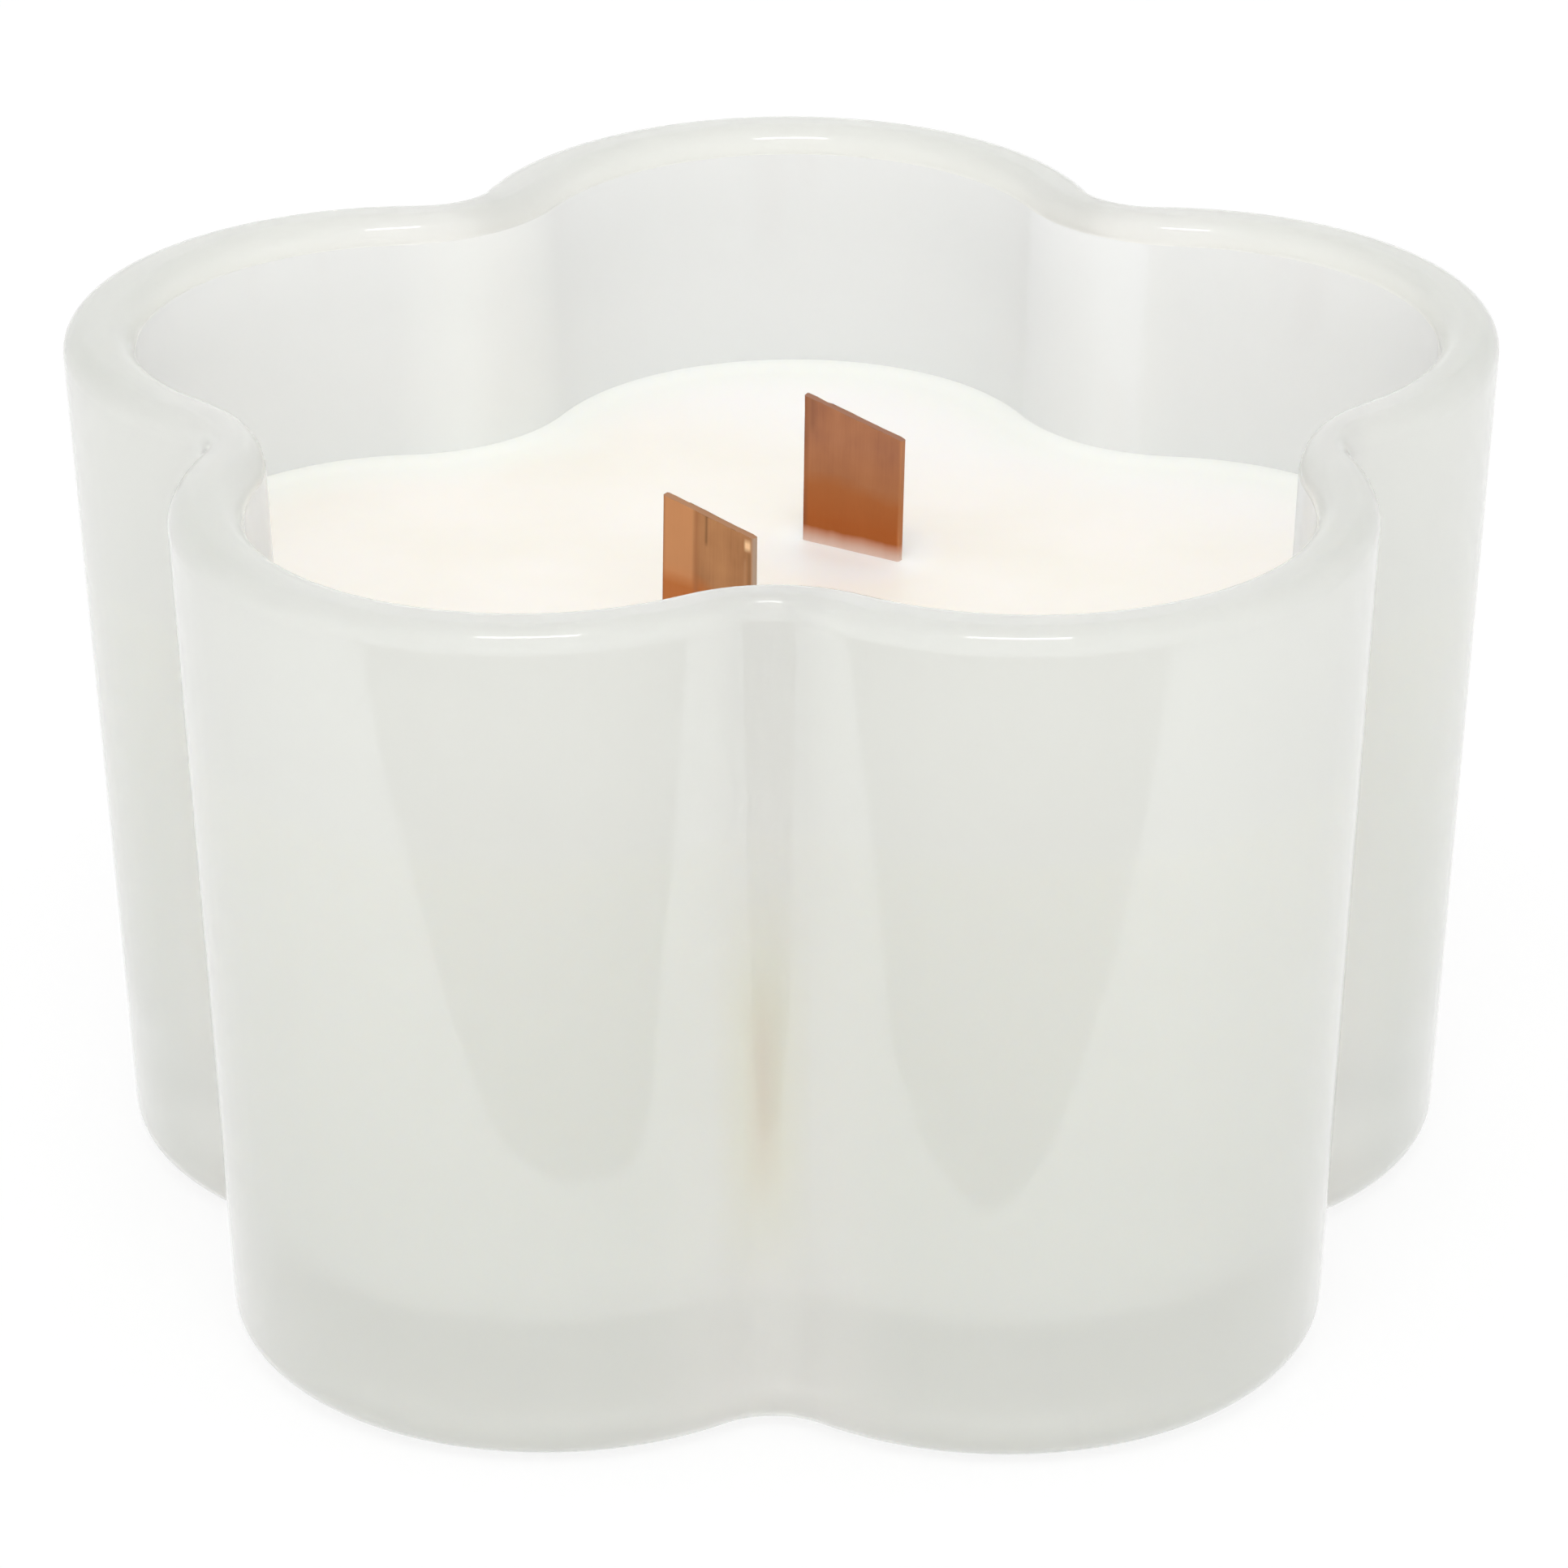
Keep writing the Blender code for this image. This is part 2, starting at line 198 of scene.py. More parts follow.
@dataclass(frozen=True)
class Mark:
    """An upright patch of colour with soft edges, in millimetres: a growth line or other mark on
    the wood, or a streak of painted light on the glass.
    """

    across_mm: float
    width_mm: float
    low_mm: float
    high_mm: float
    colour: str
    strength: float
    blur_mm: float = 0.12
    end_blur: float = 2.0

    def lay(
        self,
        tree: Tree,
        across: Socket,
        height: Socket,
        foot: float,
        under: Socket,
        within: Socket | float = 1.0,
    ) -> Socket:
        """Lays the patch over a colour, and returns the result.

        Args:
            tree: the node tree.
            across: the place across, in metres.
            height: the height over the floor, in metres.
            foot: the height over the floor that the patch is measured from, in metres.
            under: the colour that it is laid over.
            within: where it shows at all.
        """
        middle, half, blur = self.across_mm * MM, self.width_mm * MM / 2.0, self.blur_mm * MM
        wide = band_between(tree, across, middle - half, middle + half, blur, within)
        patch = band_between(tree, height, foot + self.low_mm * MM, foot + self.high_mm * MM,
                             self.end_blur * blur, wide)
        return lay_over(tree, patch, self.strength, under, self.colour)


@dataclass(frozen=True)
class SatinGlass:
    """Soda-lime glass, pressed, then frosted through its skin: milky, and polished outside.

    The frosting scatters light inside the skin, so the glass looks milky and hides what is
    behind it. The creases are painted whiter: painted light that lifts the shade in them. The rim
    and the base are clearer. The frosting's grain is a few hundredths of a millimetre, too fine for
    the render, so it is drawn as grain of half a millimetre with very little depth. A polished
    outside keeps a soft gloss, and the thick parts look grey-green because the glass absorbs a
    little light. The streaks on the front groove are painted light: a pale band, and a warm core
    for the light that the wood close behind the glass and the wax sends back. The upper wall is
    painted a shade whiter: painted light for the bright air, and no wax, behind it.
    """

    name: str
    polish: float
    transmission: float
    colour: str
    # Painted light: the upper wall's whiter colour.
    upper_painted_light: str
    # Painted light: the creases' whiter colour, which lifts the shade in them.
    crease_painted_light: str
    crease_radius: float
    axis_y: float
    # Painted light on the front groove.
    streaks: tuple[Mark, ...] = ()
    crease_light_fade: float = 0.006
    upper_light_from: float = 0.024
    upper_light_to: float = 0.066
    ior: float = 1.52
    roughness: float = 0.5
    polish_roughness: float = 0.06
    rim_from: float = 0.0722
    rim_to: float = 0.0738
    rim_transmission: float = 0.58
    rim_roughness: float = 0.5
    base_from: float = 0.0180
    base_to: float = 0.0135
    base_roughness: float = 0.32
    grain_mm: float = 0.5
    grain_depth_mm: float = 0.004
    grain_strength: float = 0.3
    body_colour: str = "E2EFE8"
    body_density: float = 8.0

    def change_with_height(
        self,
        tree: Tree,
        height: Socket,
        socket: Socket,
        base: float,
        body: float,
        rim: float,
    ) -> None:
        """Drives a shader value by height over the table.

        Args:
            tree: the node tree.
            height: the height over the table.
            socket: the shader's socket.
            base: the value in the thick base.
            body: the value in the wall.
            rim: the value at the rim.
        """
        lower = add_node(tree, "MapRange", inputs={
            "Value": height, "From Min": self.base_to, "From Max": self.base_from,
            "To Min": base, "To Max": body})
        upper = add_node(tree, "MapRange", inputs={
            "Value": height, "From Min": self.rim_from, "From Max": self.rim_to,
            "To Min": 0.0, "To Max": rim - body})
        value = add_node(tree, "Math", {"operation": "ADD"}, {
            0: lower.outputs["Result"], 1: upper.outputs["Result"]})
        tree.links.new(value.outputs[0], socket)

    def frosting(self, tree: Tree, place: Socket, spot: Node) -> Socket:
        """Returns the frosting's colour, with painted light: whiter in the creases and the upper
        wall, pale and warm in the streaks.

        Args:
            tree: the node tree.
            place: the place in the row frame.
            spot: the node that takes the place apart.
        """
        off_axis = add_node(tree, "VectorMath", {"operation": "SUBTRACT"}, {
            0: place, 1: (0.0, self.axis_y, 0.0)})
        level = add_node(tree, "VectorMath", {"operation": "MULTIPLY"}, {
            0: off_axis.outputs[0], 1: (1.0, 1.0, 0.0)})
        reach = add_node(tree, "VectorMath", {"operation": "LENGTH"}, {
            0: level.outputs[0]})
        # Painted light: the creases whiter, fading out towards the lobes.
        lobe = add_node(tree, "MapRange", {"interpolation_type": "SMOOTHSTEP"}, {
            "Value": reach.outputs["Value"], "From Min": self.crease_radius,
            "From Max": self.crease_radius + self.crease_light_fade})
        # Painted light: the upper wall whiter.
        upper = add_node(tree, "MapRange", inputs={
            "Value": spot.outputs["Z"], "From Min": self.upper_light_from, "From Max": self.upper_light_to})
        wall = add_node(tree, "Mix", {"data_type": "RGBA"}, {
            "Factor": upper.outputs["Result"], 6: hex_colour(self.colour),
            7: hex_colour(self.upper_painted_light)})
        mix = add_node(tree, "Mix", {"data_type": "RGBA"}, {
            "Factor": lobe.outputs["Result"], 6: hex_colour(self.crease_painted_light),
            7: wall.outputs[2]})
        colour = mix.outputs[2]
        # Painted light: the streaks, on the front half only.
        front = add_node(tree, "Math", {"operation": "LESS_THAN"}, {
            0: spot.outputs["Y"], 1: 0.0})
        for streak in self.streaks:
            colour = streak.lay(tree, spot.outputs["X"], spot.outputs["Z"], 0.0, colour,
                                front.outputs[0])
        return colour

    def make(self) -> Material:
        """Builds the material."""
        material, tree, shader = new_material(self.name, {
            "IOR": self.ior, "Coat Weight": self.polish,
            "Coat Roughness": self.polish_roughness})
        place = add_node(tree, "TexCoord").outputs["Object"]
        spot = add_node(tree, "SeparateXYZ", inputs={0: place})
        tree.links.new(self.frosting(tree, place, spot), shader.inputs["Base Color"])
        self.change_with_height(tree, spot.outputs["Z"], shader.inputs["Transmission Weight"],
                                self.transmission, self.transmission, self.rim_transmission)
        self.change_with_height(tree, spot.outputs["Z"], shader.inputs["Roughness"],
                                self.base_roughness, self.roughness, self.rim_roughness)
        grain = add_node(tree, "TexNoise", inputs={
            "Vector": place, "Scale": scale_of(self.grain_mm), "Detail": 2.0})
        bump = add_node(tree, "Bump", inputs={
            "Strength": self.grain_strength, "Distance": self.grain_depth_mm * MM,
            "Height": grain.outputs["Fac"]})
        tree.links.new(bump.outputs["Normal"], shader.inputs["Normal"])
        body = add_node(tree, "VolumeAbsorption", inputs={
            "Color": hex_colour(self.body_colour), "Density": self.body_density})
        tree.links.new(body.outputs["Volume"], tree.nodes["Material Output"].inputs["Volume"])
        return material


@dataclass(frozen=True)
class Shade:
    """A tint that comes in softly from one distance to another, in metres."""

    colour: str
    start: float
    end: float
    strength: float


@dataclass(frozen=True)
class PouredWax:
    """Soy wax blend, poured hot and set slowly: creamy, a little translucent, softly glossy.

    Near the glass, round the wicks and towards the rear lobe it is painted a shade whiter: painted
    light that lifts the shade by the wall and at the rear, and offsets the warm light that the wood
    throws on the wax round the wicks.
    """

    feet: tuple[Vector, ...]
    name: str = "poured_soy_wax"
    colour: str = "FEF8F0"
    mottle_colour: str = "FBF5EB"
    # Painted light: whiter towards the rear lobe, lifting the shade there.
    rear_light_way: tuple[float, float, float] = (0.5, 1.0, 0.0)
    rear_painted_light: Shade = Shade("FFFDFB", 0.024, 0.046, 0.8)
    # Painted light: whiter close to the glass, lifting the shade by the wall.
    edge: Shade = Shade("FCFEF6", 0.008, 0.001, 0.8)
    # Painted light: whiter round each wick's foot, offsetting the wood's warm light on the wax.
    foot: Shade = Shade("FDFFFC", 0.009, 0.004, 1.0)
    depth_colour: tuple[float, float, float] = (1.0, 0.82, 0.55)
    depth_mm: float = 1.5
    glow: float = 0.25
    ior: float = 1.45
    roughness: float = 0.42
    mottle_mm: float = 14.0
    ripple_mm: float = 5.0
    ripple_depth_mm: float = 0.05
    ripple_strength: float = 0.4

    def tint(self, tree: Tree, place: Socket) -> Socket:
        """Returns the wax's colour, with painted light: whiter near the glass, round the wicks and
        towards the rear lobe.

        Args:
            tree: the node tree.
            place: the place in the row frame.
        """
        mottle = add_node(tree, "TexNoise", inputs={
            "Vector": place, "Scale": scale_of(self.mottle_mm), "Detail": 3.0})
        cream = add_node(tree, "ValToRGB", inputs={"Fac": mottle.outputs["Fac"]},
                         stops=((0.35, self.mottle_colour), (0.65, self.colour)))
        back = add_node(tree, "VectorMath", {"operation": "DOT_PRODUCT"}, {
            0: place, 1: self.rear_light_way})
        spread = add_node(tree, "UVMap", {"uv_map": "from_glass"})
        inward = add_node(tree, "SeparateXYZ", inputs={0: spread.outputs["UV"]})
        # Painted light: the rear, the glass's edge and the wicks' feet, each whiter.
        layers = [(self.rear_painted_light, back.outputs["Value"]), (self.edge, inward.outputs["X"])]
        for foot in self.feet:
            away = add_node(tree, "VectorMath", {"operation": "DISTANCE"}, {
                0: place, 1: foot})
            layers.append((self.foot, away.outputs["Value"]))
        tint = cream.outputs["Color"]
        for shade, distance in layers:
            share = add_node(tree, "MapRange", {"interpolation_type": "SMOOTHSTEP"}, {
                "Value": distance, "From Min": shade.start, "From Max": shade.end})
            tint = lay_over(tree, share.outputs["Result"], shade.strength, tint, shade.colour)
        return tint

    def make(self) -> Material:
        """Builds the material."""
        material, tree, shader = new_material(self.name, {
            "Roughness": self.roughness, "IOR": self.ior, "Subsurface Weight": self.glow,
            "Subsurface Radius": self.depth_colour, "Subsurface Scale": self.depth_mm * MM})
        place = add_node(tree, "TexCoord").outputs["Object"]
        tree.links.new(self.tint(tree, place), shader.inputs["Base Color"])
        ripple = add_node(tree, "TexNoise", inputs={
            "Vector": place, "Scale": scale_of(self.ripple_mm), "Detail": 2.0})
        bump = add_node(tree, "Bump", inputs={
            "Strength": self.ripple_strength, "Distance": self.ripple_depth_mm * MM,
            "Height": ripple.outputs["Fac"]})
        tree.links.new(bump.outputs["Normal"], shader.inputs["Normal"])
        return material


@dataclass(frozen=True)
class SawnCherry:
    """Cherry veneer strip, sawn along the grain: warm brown with straight growth lines.

    The foot is soaked with wax, which turns it a deeper and redder brown, and where the hot wax
    crept up it a thin whitish film stays.
    """

    name: str
    wax_level: float
    marks: tuple[Mark, ...]
    pale: str
    mid: str
    dark: str
    end_grain: str
    soaked: str = "AE6236"
    film: str = "C9957C"
    foot_film: str = "DFC4B7"
    soak_mm: float = 4.6
    soak_wobble_mm: float = 1.6
    soak_blur_mm: float = 0.7
    film_mm: float = 1.4
    film_wobble_mm: float = 0.8
    film_blur_mm: float = 0.25
    foot_blur_mm: float = 0.45
    roughness: float = 0.6
    gloss: float = 0.15
    growth_line_mm: float = 2.6
    fibre_mm: float = 0.2
    fibre_share: float = 0.25
    fibre_depth_mm: float = 0.05
    blotch_mm: float = 3.0
    blotch_share: float = 0.35
    squeeze_along: float = 0.05
    slope: float = 0.10
    soak_strength: float = 0.8
    end_grain_strength: float = 0.9

    def over_wax(self, height_mm: float) -> float:
        """Returns a height over the floor, in metres, from one over the wax in millimetres."""
        return self.wax_level + height_mm * MM

    def soak(
        self,
        tree: Tree,
        across: Socket,
        height: Socket,
        blotch: Socket,
        colour: Socket,
    ) -> Socket:
        """Darkens the foot where it is soaked with wax, up to an uneven, slanting edge.

        Args:
            tree: the node tree.
            across: the place across the strip.
            height: the height over the floor.
            blotch: the noise that makes the edge uneven.
            colour: the dry wood's colour.
        """
        lean = add_node(tree, "Math", {"operation": "MULTIPLY_ADD"}, {
            0: across, 1: self.slope, 2: height})
        wobble = add_node(tree, "Math", {"operation": "MULTIPLY_ADD"}, {
            0: blotch, 1: self.soak_wobble_mm * MM, 2: lean.outputs[0]})
        top = self.over_wax(self.soak_mm + self.soak_wobble_mm / 2.0)
        share = band_between(tree, wobble.outputs[0], 0.0, top, self.soak_blur_mm * MM)
        return lay_over(tree, share, self.soak_strength, colour, self.soaked)

    def creep(
        self,
        tree: Tree,
        height: Socket,
        growth: Socket,
        colour: Socket,
    ) -> Socket:
        """Lays the whitish film of wax over the foot, thicker at the very bottom.

        Args:
            tree: the node tree.
            height: the height over the floor.
            growth: the growth lines, which the film follows.
            colour: the wood's colour.
        """
        edge = add_node(tree, "Math", {"operation": "MULTIPLY_ADD"}, {
            0: growth, 1: -self.film_wobble_mm * MM, 2: height})
        layers = ((self.film_mm, self.film_blur_mm, 0.85, self.film),
                  (self.film_mm / 2.0, self.foot_blur_mm, 0.9, self.foot_film))
        for top_mm, blur_mm, strength, film in layers:
            top = self.over_wax(top_mm - self.film_wobble_mm / 2.0)
            share = band_between(tree, edge.outputs[0], 0.0, top, blur_mm * MM)
            colour = lay_over(tree, share, strength, colour, film)
        return colour

    def make(self) -> Material:
        """Builds the material."""
        material, tree, shader = new_material(self.name, {
            "Roughness": self.roughness, "Specular IOR Level": self.gloss})
        place = add_node(tree, "UVMap", {"uv_map": "grain"}).outputs["UV"]
        stretch = add_node(tree, "Mapping", inputs={
            "Vector": place, "Scale": (1.0, self.squeeze_along, 1.0)})
        growth = add_node(tree, "TexNoise", inputs={
            "Vector": stretch.outputs["Vector"], "Scale": scale_of(self.growth_line_mm),
            "Detail": 2.0, "Roughness": 0.5})
        fibre = add_node(tree, "TexNoise", inputs={
            "Vector": stretch.outputs["Vector"], "Scale": scale_of(self.fibre_mm),
            "Detail": 2.0})
        blotch = add_node(tree, "TexNoise", inputs={
            "Vector": place, "Scale": scale_of(self.blotch_mm), "Detail": 2.0})
        streaks = add_node(tree, "Mix", {"data_type": "FLOAT"}, {
            "Factor": self.fibre_share, 2: growth.outputs["Fac"], 3: fibre.outputs["Fac"]})
        both = add_node(tree, "Mix", {"data_type": "FLOAT"}, {
            "Factor": self.blotch_share, 2: streaks.outputs[0], 3: blotch.outputs["Fac"]})
        wood = add_node(tree, "ValToRGB", inputs={"Fac": both.outputs[0]},
                        stops=((0.30, self.dark), (0.50, self.mid), (0.70, self.pale)))
        spot = add_node(tree, "SeparateXYZ", inputs={0: place})
        across, height = spot.outputs["X"], spot.outputs["Y"]
        colour = self.soak(tree, across, height, blotch.outputs["Fac"], wood.outputs["Color"])
        for mark in self.marks:
            colour = mark.lay(tree, across, height, self.wax_level, colour)
        colour = self.creep(tree, height, growth.outputs["Fac"], colour)
        shape = add_node(tree, "NewGeometry")
        facing = add_node(tree, "SeparateXYZ", inputs={0: shape.outputs["Normal"]})
        upward = add_node(tree, "MapRange", inputs={
            "Value": facing.outputs["Z"], "From Min": 0.3, "From Max": 0.7})
        colour = lay_over(tree, upward.outputs["Result"], self.end_grain_strength, colour,
                          self.end_grain)
        tree.links.new(colour, shader.inputs["Base Color"])
        bump = add_node(tree, "Bump", inputs={
            "Strength": 0.4, "Distance": self.fibre_depth_mm * MM,
            "Height": fibre.outputs["Fac"]})
        tree.links.new(bump.outputs["Normal"], shader.inputs["Normal"])
        return material


@dataclass(frozen=True)
class TinnedSteel:
    """Tin-plated mild steel sheet, stamped: pale and satin, with the rolling mill's faint lines."""

    name: str = "tinned_steel_sheet"
    colour: str = "CFCFCB"
    roughness: float = 0.32
    roughness_swing: float = 0.08
    line_mm: float = 0.3
    squeeze_along: float = 0.05

    def make(self) -> Material:
        """Builds the material."""
        material, tree, shader = new_material(self.name, {
            "Base Color": hex_colour(self.colour), "Metallic": 1.0})
        place = add_node(tree, "TexCoord")
        stretch = add_node(tree, "Mapping", inputs={
            "Vector": place.outputs["Object"], "Scale": (self.squeeze_along, 1.0, 1.0)})
        lines = add_node(tree, "TexNoise", inputs={
            "Vector": stretch.outputs["Vector"], "Scale": scale_of(self.line_mm), "Detail": 2.0})
        rough = add_node(tree, "MapRange", inputs={
            "Value": lines.outputs["Fac"], "To Min": self.roughness - self.roughness_swing,
            "To Max": self.roughness + self.roughness_swing})
        tree.links.new(rough.outputs["Result"], shader.inputs["Roughness"])
        return material


@dataclass(frozen=True)
class FoamTape:
    """Closed-cell polyethylene foam tape, die cut: white and matte, with fine cut cells."""

    name: str = "polyethylene_foam_tape"
    colour: str = "F1F0EC"
    roughness: float = 0.85
    cell_mm: float = 0.35
    cell_depth_mm: float = 0.05

    def make(self) -> Material:
        """Builds the material."""
        material, tree, shader = new_material(self.name, {
            "Base Color": hex_colour(self.colour), "Roughness": self.roughness})
        place = add_node(tree, "TexCoord")
        cells = add_node(tree, "TexVoronoi", inputs={
            "Vector": place.outputs["Object"], "Scale": scale_of(self.cell_mm)})
        bump = add_node(tree, "Bump", inputs={
            "Strength": 0.5, "Distance": self.cell_depth_mm * MM,
            "Height": cells.outputs["Distance"]})
        tree.links.new(bump.outputs["Normal"], shader.inputs["Normal"])
        return material


def spoke(turn: float, length: float) -> Vector:
    """Returns a level vector of one length, turned anticlockwise from +X."""
    return Vector((math.cos(turn), math.sin(turn), 0.0)) * length


@dataclass(frozen=True)
class LobedOutline:
    """The jar's plan outline: round lobes joined by hollow creases, drafted from base to rim."""

    height: float
    lobes: int = 5
    first_lobe_turn: float = math.radians(90.0)
    rim_lobe_centre: float = 0.0334
    rim_lobe_radius: float = 0.0283
    rim_crease_radius: float = 0.0042
    base_lobe_centre: float = 0.0316
    base_lobe_radius: float = 0.0264
    base_crease_radius: float = 0.0053
    wall: float = 0.0056
    ridge_softness: float = 1.05
    ridge_reach: float = 0.0440
    plunger_shift: float = 0.0005
    lobe_steps: int = 44
    crease_steps: int = 14

    def drafted(self, base_value: float, rim_value: float, z: float) -> float:
        """Returns a size that changes evenly from the base to the rim."""
        return base_value + (rim_value - base_value) * z / self.height

    def crease_radius_at(self, z: float) -> float:
        """Returns how far the creases' hollows lie from the jar's axis at one height."""
        return min(math.hypot(point.x, point.y) for point in self.ring(z, 0.0))

    def depth_inside(self, point: Vector) -> float:
        """Returns about how far a point lies from the inside of the wall, in plan."""
        centre = self.drafted(self.base_lobe_centre, self.rim_lobe_centre, point.z)
        radius = self.drafted(self.base_lobe_radius, self.rim_lobe_radius, point.z) - self.wall
        depths = [self.ridge_reach - math.hypot(point.x, point.y)]
        for lobe in range(self.lobes):
            turn = self.first_lobe_turn + 2.0 * math.pi * lobe / self.lobes
            away = math.hypot(point.x - centre * math.cos(turn), point.y - centre * math.sin(turn))
            depths.append(radius - away)
        return max(depths)

    def ring(self, z: float, inset: float, softened: bool = False) -> Ring:
        """Returns the outline at one height, moved inwards by an even distance.

        Args:
            z: height over the floor.
            inset: distance inwards from the jar's outside.
            softened: whether this is the inside, where the plunger stood a little off centre
                and made the ridges behind the creases rounder than an even wall would.

        Returns:
            Points anticlockwise round the jar's own axis.
        """
        centre = self.drafted(self.base_lobe_centre, self.rim_lobe_centre, z)
        lobe_radius = self.drafted(self.base_lobe_radius, self.rim_lobe_radius, z) - inset
        crease_radius = self.drafted(self.base_crease_radius, self.rim_crease_radius, z) + inset
        shift = Vector((0.0, 0.0, z))
        if softened:
            crease_radius += self.ridge_softness * inset
            shift.x = self.plunger_shift * min(inset / self.wall, 1.0)
        half_pitch = math.pi / self.lobes
        across = centre * math.sin(half_pitch)
        reach = math.sqrt((lobe_radius + crease_radius) ** 2 - across ** 2)
        crease_centre = centre * math.cos(half_pitch) + reach
        crease_half = math.atan2(across, reach)
        lobe_half = crease_half + half_pitch
        ring = []
        for lobe in range(self.lobes):
            lobe_turn = self.first_lobe_turn + 2.0 * half_pitch * lobe
            middle = spoke(lobe_turn, centre)
            for step in range(self.lobe_steps + 1):
                turn = lobe_turn + lobe_half * (2.0 * step / self.lobe_steps - 1.0)
                ring.append(middle + spoke(turn, lobe_radius) + shift)
            crease_turn = lobe_turn + half_pitch
            middle = spoke(crease_turn, crease_centre)
            for step in range(1, self.crease_steps):
                turn = crease_turn + math.pi
                turn += crease_half * (1.0 - 2.0 * step / self.crease_steps)
                ring.append(middle + spoke(turn, crease_radius) + shift)
        return ring


def arc(
    centre: tuple[float, float], radius: float, start_turn: float, end_turn: float, steps: int
) -> list[tuple[float, float]]:
    """Returns section points (z, inset) along an arc, both ends included.

    Args:
        centre: the arc's centre as (z, inset).
        radius: the arc's radius.
        start_turn: first angle in degrees, 0 towards the inside and 90 upwards.
        end_turn: last angle in degrees.
        steps: number of equal steps.
    """
    points = []
    for step in range(steps + 1):
        turn = math.radians(start_turn + (end_turn - start_turn) * step / steps)
        points.append((centre[0] + radius * math.sin(turn), centre[1] + radius * math.cos(turn)))
    return points


def skin_rings(bm: Mesh, rings: Iterable[Ring]) -> list[list[BMFace]]:
    """Joins closed rings of equal point counts by quads.

    Args:
        bm: the mesh to add to.
        rings: closed rings of points, in order.

    Returns:
        The bands of faces between one ring and the next.
    """
    loops = [[bm.verts.new(point) for point in ring] for ring in rings]
    bands = []
    for lower, upper in zip(loops, loops[1:]):
        band = []
        for index in range(len(lower)):
            following = (index + 1) % len(lower)
            corners = (lower[index], lower[following], upper[following], upper[index])
            band.append(bm.faces.new(corners))
        bands.append(band)
    return bands


def close_with_rings(bm: Mesh, first: int, count: int, steps: int) -> None:
    """Fills a level loop by rings that shrink evenly towards its middle.

    Args:
        bm: the mesh to add to.
        first: the index of the loop's first vertex.
        count: the number of vertices in the loop.
        steps: number of rings to the middle.
    """
    bm.verts.ensure_lookup_table()
    loop = bm.verts[first:first + count]
    middle = sum((vert.co for vert in loop), Vector()) / len(loop)
    outer = list(loop)
    for step in range(1, steps):
        share = step / steps
        inner = [bm.verts.new(vert.co.lerp(middle, share)) for vert in loop]
        for index in range(len(loop)):
            following = (index + 1) % len(loop)
            bm.faces.new((outer[index], outer[following], inner[following], inner[index]))
        outer = inner
    tip = bm.verts.new(middle)
    for index in range(len(loop)):
        bm.faces.new((outer[index], outer[(index + 1) % len(loop)], tip))


def add_object(name: str, bm: Mesh) -> Object:
    """Turns a mesh under construction, which is freed, into an object of the scene."""
    mesh = bpy.data.meshes.new(name)
    bm.to_mesh(mesh)
    bm.free()
    made = bpy.data.objects.new(name, mesh)
    bpy.context.scene.collection.objects.link(made)
    return made


def place_piece(
    name: str,
    bm: Mesh,
    materials: Sequence[Material],
    node: str,
    where: Matrix,
    sharp_turn: float = math.radians(40.0),
) -> Object:
    """Turns a mesh under construction into a piece that stands for a node of the frame.

    Args:
        name: the piece's name.
        bm: its mesh, which is freed.
        materials: its finishes, in the order of the faces' material indices.
        node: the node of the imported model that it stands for.
        where: places the mesh in the row frame.
        sharp_turn: edges that turn by more than this stay crisp.

    Returns:
        The new object.
    """
    bmesh.ops.recalc_face_normals(bm, faces=bm.faces)
    bm.transform(where)
    piece = add_object(name, bm)
    mesh = piece.data
    for material in materials:
        mesh.materials.append(material)
    mesh.shade_smooth()
    mesh.set_sharp_from_angle(angle=sharp_turn)
    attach(piece, BODY)
    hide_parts(node)
    LOG.info("%s stands for %s: %d faces", name, node, len(mesh.polygons))
    return piece


